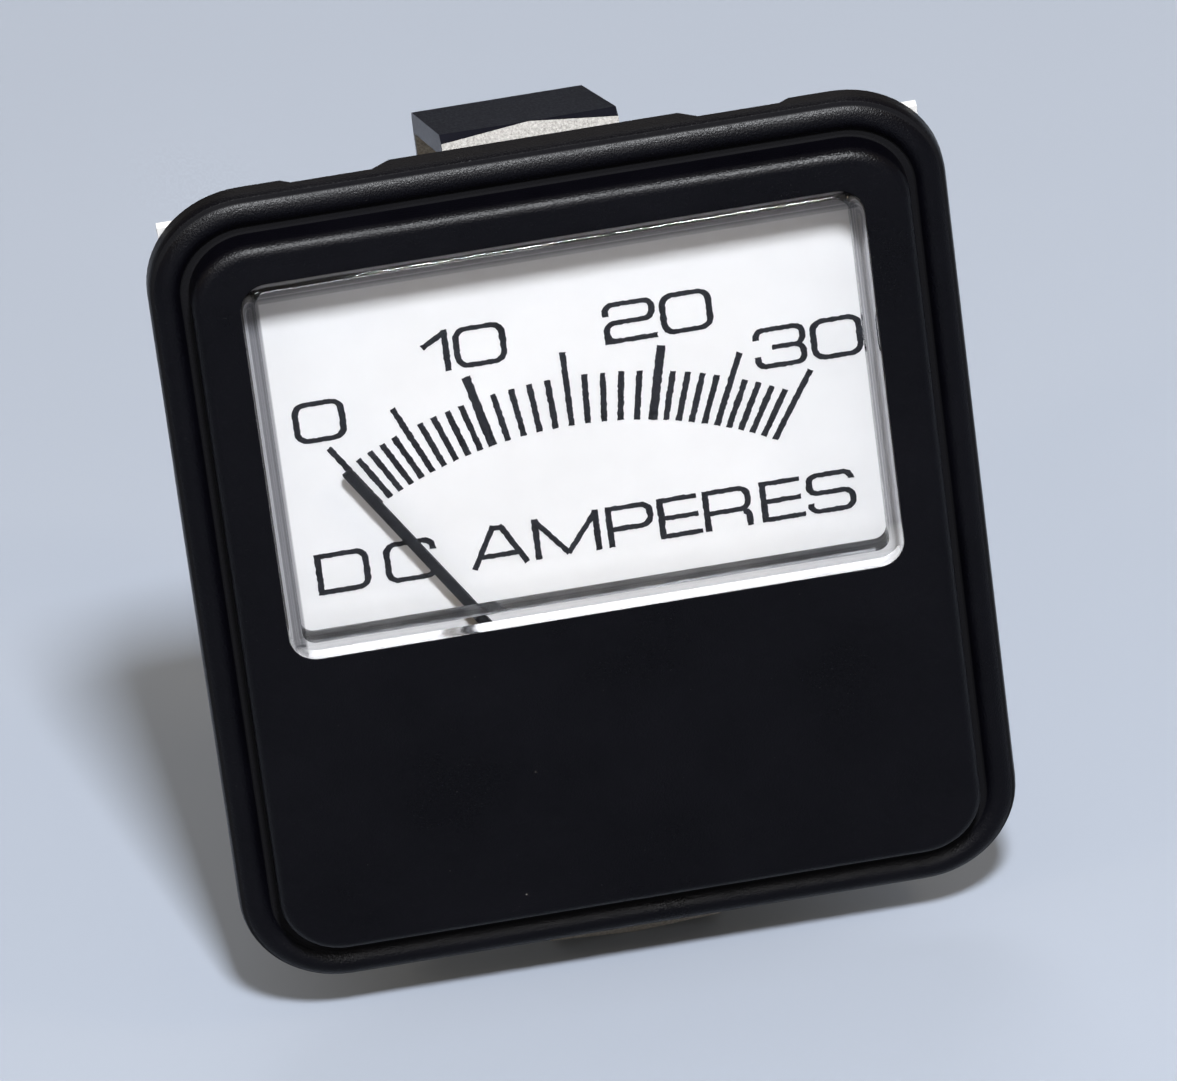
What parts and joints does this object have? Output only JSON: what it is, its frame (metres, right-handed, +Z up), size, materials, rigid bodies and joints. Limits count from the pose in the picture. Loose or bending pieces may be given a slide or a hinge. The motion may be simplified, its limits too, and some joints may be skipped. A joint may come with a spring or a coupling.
{
  "type": "analog panel meter",
  "caption": "Square analog panel meter: black stepped bezel, clear window over a white scale, pointer, round rear case, screw terminals and a strap clamp.",
  "frame": {"origin": "on the seating face behind the case flange, behind the centre of the bezel's raised face; this face meets the front of the panel", "axes": "+X to the viewer's right, +Y to the rear through the panel, +Z up along the dial"},
  "size_m": [0.0572, 0.0541, 0.0702],
  "materials": {
    "bezel_black": "moulded, fine texture",
    "case_black": "moulded",
    "window_clear": "clear moulded plastic",
    "dial_white": "satin white enamel",
    "ink_black": "screen-printed ink",
    "pointer_black": "matt black",
    "strap_aluminium": "mill finish, sheared ends",
    "plated_steel": "nickel plated",
    "blackened_steel": "black oxide",
    "brass": "turned",
    "copper": "bare copper",
    "soft_iron": "bare soft iron",
    "magnet_alloy": "cast magnet alloy"
  },
  "bodies": {
    "meter": {"bezel": "bezel_black", "window_lens": "window_clear", "dial_plate": "dial_white", "scale_marks": "ink_black", "scale_numbers": "ink_black", "unit_legend": "ink_black", "dial_screw_left": "plated_steel", "dial_screw_right": "plated_steel", "stop_pin_zero": "plated_steel", "stop_pin_full": "plated_steel", "case_screw_1": "blackened_steel", "case_screw_2": "blackened_steel", "case_screw_3": "blackened_steel", "case_screw_4": "blackened_steel", "movement_base": "brass", "movement_post_left": "brass", "movement_post_right": "brass", "front_bridge": "brass", "base_screw_left": "plated_steel", "base_screw_right": "plated_steel", "front_bearing": "brass", "rear_bearing": "brass", "control_magnet": "magnet_alloy", "conductor": "copper", "rear_case": "case_black", "terminal_stud_left": "brass", "terminal_stud_right": "brass", "case_washer_left": "brass", "case_washer_right": "brass", "case_nut_left": "brass", "case_nut_right": "brass", "wire_washer_left": "brass", "wire_washer_right": "brass", "lock_washer_left": "plated_steel", "lock_washer_right": "plated_steel", "wire_nut_left": "brass", "wire_nut_right": "brass", "bracket_stud": "plated_steel", "bracket_stud_washer": "plated_steel", "bracket_stud_nut": "plated_steel", "mounting_bracket": "strap_aluminium", "bracket_lock_washer": "plated_steel", "bracket_nut": "plated_steel"},
    "movement": {"pointer_staff": "plated_steel", "pointer": "pointer_black", "balance_weight": "brass", "iron_vane": "soft_iron"}
  },
  "joints": [
    {"name": "pointer_hinge", "type": "hinge", "parent": "meter", "child": "movement", "pos_m": [0, 0, -0.0193], "axis": [0, 1, 0], "range_deg": [-2, 64.2], "stiffness_Nm_per_rad": 0.00002}
  ]
}
